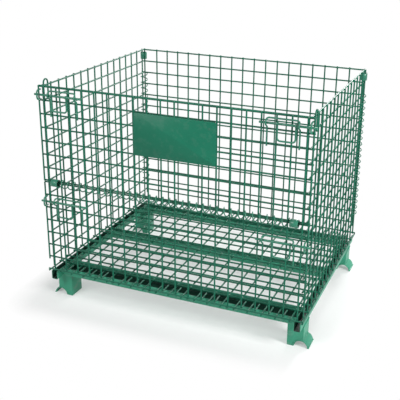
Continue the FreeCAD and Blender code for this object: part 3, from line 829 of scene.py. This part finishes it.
def channel(node, along):
    # a U folded from sheet and open upwards
    low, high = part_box(node)
    wall, bend = chassis["wall"], chassis["bend"]
    a, b = (low.y, high.y) if along == "x" else (low.x, high.x)
    soft = wall * 0.25

    def fold(cx, cz, radius, first, last):
        steps = chassis["foldSteps"]
        turns = [math.radians(first + (last - first) * i / steps) for i in range(steps + 1)]
        return [(cx + radius * math.cos(turn), cz + radius * math.sin(turn)) for turn in turns]

    z0, z1 = low.z, high.z
    section = [(a, z1 - soft)] + fold(a + bend, z0 + bend, bend, 180, 270)
    section += fold(b - bend, z0 + bend, bend, 270, 360)
    section += [(b, z1 - soft), (b - soft, z1), (b - wall + soft, z1), (b - wall, z1 - soft)]
    section += fold(b - bend, z0 + bend, bend - wall, 360, 270)
    section += fold(a + bend, z0 + bend, bend - wall, 270, 180)
    section += [(a + wall, z1 - soft), (a + wall - soft, z1), (a + soft, z1)]
    ends = (low.x, high.x) if along == "x" else (low.y, high.y)
    work = bmesh.new()
    # the inner faces carry how much painted shade they get
    paintedShade = work.verts.layers.float.new("paintedShade")
    rings = [[work.verts.new((end, p, q) if along == "x" else (p, end, q)) for p, q in section] for end in ends]
    count = len(section)
    for ring in rings:
        for corner in ring[count // 2 + 1:-2]:    # the inner half of the section
            corner[paintedShade] = chassis["innerShade"].get(node, chassis["usualInnerShade"])
    for i in range(count):
        work.faces.new((rings[0][i], rings[0][(i + 1) % count], rings[1][(i + 1) % count], rings[1][i]))
    for ring in rings:
        work.faces.new(ring)
    return finished(work)


def softened(node, width):
    # a copy of a CAD node with its sharp edges rounded
    copy = nodes[node].data.copy()
    work = bmesh.new()
    work.from_mesh(copy)
    bmesh.ops.remove_doubles(work, verts=work.verts, dist=0.00002)
    bmesh.ops.dissolve_limit(work, angle_limit=math.radians(1), verts=work.verts, edges=work.edges)
    work.to_mesh(copy)
    work.free()
    holder = bpy.data.objects.new("holder", copy)
    bpy.context.scene.collection.objects.link(holder)
    bevel = holder.modifiers.new("round", "BEVEL")
    bevel.width = width
    bevel.segments = 3
    bevel.limit_method = "ANGLE"
    bevel.angle_limit = math.radians(40)
    bpy.context.view_layer.update()
    result = bpy.data.meshes.new_from_object(holder.evaluated_get(bpy.context.evaluated_depsgraph_get()))
    bpy.data.objects.remove(holder)
    return result


for node, along in (("side_channel_left", "y"), ("side_channel_right", "y"), ("cross_channel_front", "x"),
                    ("cross_channel_middle", "x"), ("cross_channel_rear", "x")):
    made = [channel(node, along)]
    if along == "x":
        # welded to the side channels down each end
        low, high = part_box(node)
        for x in (low.x, high.x):
            for y in (low.y, high.y):
                made.append(seam([(x, y, high.z - chassis["seamDrop"]), (x, y, low.z)], chassis["seam"]))
            made.append(seam([(x, low.y, low.z), (x, high.y, low.z)], chassis["seam"]))
    piece(node + "Folded", "base", "frame_paint", made, (node,))

for across in ("left", "right"):
    for end in ("front", "rear"):
        corner = end + "_" + across
        side = -1 if across == "left" else 1
        made = [softened("foot_" + corner, chassis["footRound"])]
        low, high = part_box("foot_" + corner)
        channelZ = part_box("side_channel_" + across)[0].z
        outerX = high.x if side > 0 else low.x
        made.append(seam([(outerX, low.y, channelZ), (outerX, high.y, channelZ)], chassis["seam"], 3))
        # the saddle is welded round its arch on both faces of the leg
        radius = chassis["saddleInner"] + chassis["saddleSheet"]
        for y in (low.y, high.y):
            arch = []
            first, last = chassis["saddleWeld"]
            for i in range(chassis["saddleSteps"] + 1):
                angle = math.radians(first + (last - first) * i / chassis["saddleSteps"])
                x = side * chassis["saddleAxis"] + radius * math.cos(angle)
                if abs(x) <= abs(outerX):
                    arch.append((x, y, radius * math.sin(angle)))
            made.append(seam(arch, chassis["seam"], 5))
        piece("foot_" + corner + "Pressed", "base", "frame_paint", made, ("foot_" + corner,))
        piece("saddle_" + corner + "Sheet", "base", "frame_paint",
              [softened("saddle_" + corner, chassis["saddleRound"])], ("saddle_" + corner,))


def makePlate():
    low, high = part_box("label_plate")
    corner, thick = chassis["plateCorner"], high.y - low.y
    outline = []
    for cx, cz, first in ((high.x - corner, high.z - corner, 0), (low.x + corner, high.z - corner, 90),
                          (low.x + corner, low.z + corner, 180), (high.x - corner, low.z + corner, 270)):
        for i in range(7):
            angle = math.radians(first + 15 * i)
            outline.append((cx, cz, math.cos(angle), math.sin(angle)))
    work = bmesh.new()
    rings = []
    back, front = chassis["plateEdge"]
    for y, inset in ((high.y, back), (high.y - back, 0), (low.y + front, 0), (low.y, front)):
        reach = corner - inset
        rings.append([work.verts.new((cx + reach * c, y, cz + reach * s)) for cx, cz, c, s in outline])
    count = len(outline)
    for a, b in zip(rings, rings[1:]):
        for i in range(count):
            work.faces.new((a[i], a[(i + 1) % count], b[(i + 1) % count], b[i]))
    work.faces.new(rings[0])
    work.faces.new(rings[-1])
    spot = chassis["plateSpot"]
    spots = welds((low.x + pitch / 2, low.y + thick * 0.2, high.z - pitch / 2), (spot, thick * 0.35, spot), 2,
                  (0, 0, -(high.z - low.z - pitch)), 2, (high.x - low.x - pitch, 0, 0), 35, "plate_paint")
    piece("labelPlate", "upper_gate", "plate_paint", [finished(work), spots], ("label_plate",))


makePlate()
print("channels, feet and plate made")

# a pale floor and three soft lamps
studio = {
    "floor": (0.93, 0.93, 0.93, 1),
    "reach": 30,              # half the width of the floor
    "soft": 0.30,             # strength of the even light from all round
    "footprint": (0.50, 0.40, 0),
    "whiteNear": 0.30,        # how much of plain white the floor shows under the object
    "whiteFrom": 0.02,        # outside the footprint it fades to all white between these two distances
    "whiteBy": 0.16,
    "aim": (0, 0, 0.4),
    "lamps": {
        "backLamp": {"place": (0.5, 3.1, 2.3), "size": 1.2, "power": 100},
        "rightLamp": {"place": (3.3, -1.2, 2.0), "size": 1.0, "power": 115},
        "frontLamp": {"place": (-1.5, -3.2, 2.6), "size": 1.6, "power": 68},
    },
}


def seenDirectly(tree):
    # 1 for the camera's own rays and for glossy and clear ones
    rays = tree.nodes.new("ShaderNodeLightPath").outputs
    seen = mathNode(tree, "MAXIMUM", rays["Is Camera Ray"], rays["Is Glossy Ray"])
    return mathNode(tree, "MAXIMUM", seen, rays["Is Transmission Ray"])


def makeStudio():
    mesh = bpy.data.meshes.new("studioFloor")
    reach = studio["reach"]
    mesh.from_pydata([(-reach, -reach, 0), (reach, -reach, 0), (reach, reach, 0), (-reach, reach, 0)], [],
                     [(0, 1, 2, 3)])
    floor = bpy.data.objects.new("studioFloor", mesh)
    bpy.context.scene.collection.objects.link(floor)
    material = bpy.data.materials.new("studioFloor")
    material.use_nodes = True
    tree = material.node_tree
    shader = tree.nodes["Principled BSDF"]
    shader.inputs["Base Color"].default_value = studio["floor"]
    shader.inputs["Roughness"].default_value = 0.9
    shader.inputs["Specular IOR Level"].default_value = 0.0
    away = tree.nodes.new("ShaderNodeTexCoord").outputs["Object"]
    outside = (("ABSOLUTE", (0, 0, 0)), ("SUBTRACT", studio["footprint"]), ("MAXIMUM", (0, 0, 0)))
    for operation, other in outside:
        away = add(tree, "ShaderNodeVectorMath", {0: away, 1: other}, operation=operation)[0]
    away = add(tree, "ShaderNodeVectorMath", {0: away}, operation="LENGTH")["Value"]
    far = ramp(tree, away, studio["whiteFrom"], studio["whiteBy"])
    far = mathNode(tree, "MAXIMUM", far, studio["whiteNear"])
    white = tree.nodes.new("ShaderNodeEmission")
    blend = tree.nodes.new("ShaderNodeMixShader")
    link(tree, mathNode(tree, "MULTIPLY", far, seenDirectly(tree)), blend.inputs["Fac"])
    link(tree, shader.outputs[0], blend.inputs[1])
    link(tree, white.outputs[0], blend.inputs[2])
    link(tree, blend.outputs[0], tree.nodes["Material Output"].inputs["Surface"])
    mesh.materials.append(material)

    world = bpy.data.worlds.new("studioWorld")
    bpy.context.scene.world = world
    world.use_nodes = True
    tree = world.node_tree
    tree.nodes.clear()
    out = tree.nodes.new("ShaderNodeOutputWorld")
    sky = tree.nodes.new("ShaderNodeBackground")
    sky.inputs["Color"].default_value = (1, 1, 1, 1)
    link(tree, mathNode(tree, "MAXIMUM", seenDirectly(tree), studio["soft"]), sky.inputs["Strength"])
    link(tree, sky.outputs[0], out.inputs["Surface"])

    for name, lampLook in studio["lamps"].items():
        data = bpy.data.lights.new(name, "AREA")
        data.size = lampLook["size"]
        data.energy = lampLook["power"]
        lamp = bpy.data.objects.new(name, data)
        lamp.location = lampLook["place"]
        aim = Vector(studio["aim"]) - lamp.location
        lamp.rotation_euler = aim.to_track_quat("-Z", "Y").to_euler()
        bpy.context.scene.collection.objects.link(lamp)


makeStudio()

# degrees, millimetres for the lens and its sensor, metres for the place
view = {"azimuth": 21.571, "elevation": 19.998, "roll": 0.926, "lens": 68.117, "sensor": 36, "nearest": 0.05,
        "place": (1.0454, -2.5466, 1.4459), "shift": (-0.0516, -0.0607)}


def makeCamera():
    a, e, r = (math.radians(view[key]) for key in ("azimuth", "elevation", "roll"))
    forward = Vector((-math.sin(a) * math.cos(e), math.cos(a) * math.cos(e), -math.sin(e)))
    right = Vector((math.cos(a), math.sin(a), 0))
    up = right.cross(forward)
    rolledRight = right * math.cos(r) + up * math.sin(r)
    rolledUp = up * math.cos(r) - right * math.sin(r)
    data = bpy.data.cameras.new("camera")
    data.lens = view["lens"]
    data.sensor_width = view["sensor"]
    data.shift_x, data.shift_y = view["shift"]
    data.clip_start = view["nearest"]
    camera = bpy.data.objects.new("camera", data)
    turn = Matrix((rolledRight, rolledUp, -forward)).transposed()
    camera.matrix_world = Matrix.Translation(view["place"]) @ turn.to_4x4()
    bpy.context.scene.collection.objects.link(camera)
    bpy.context.scene.camera = camera
    bpy.context.scene.view_settings.view_transform = "Standard"


makeCamera()
print("studio and camera made")
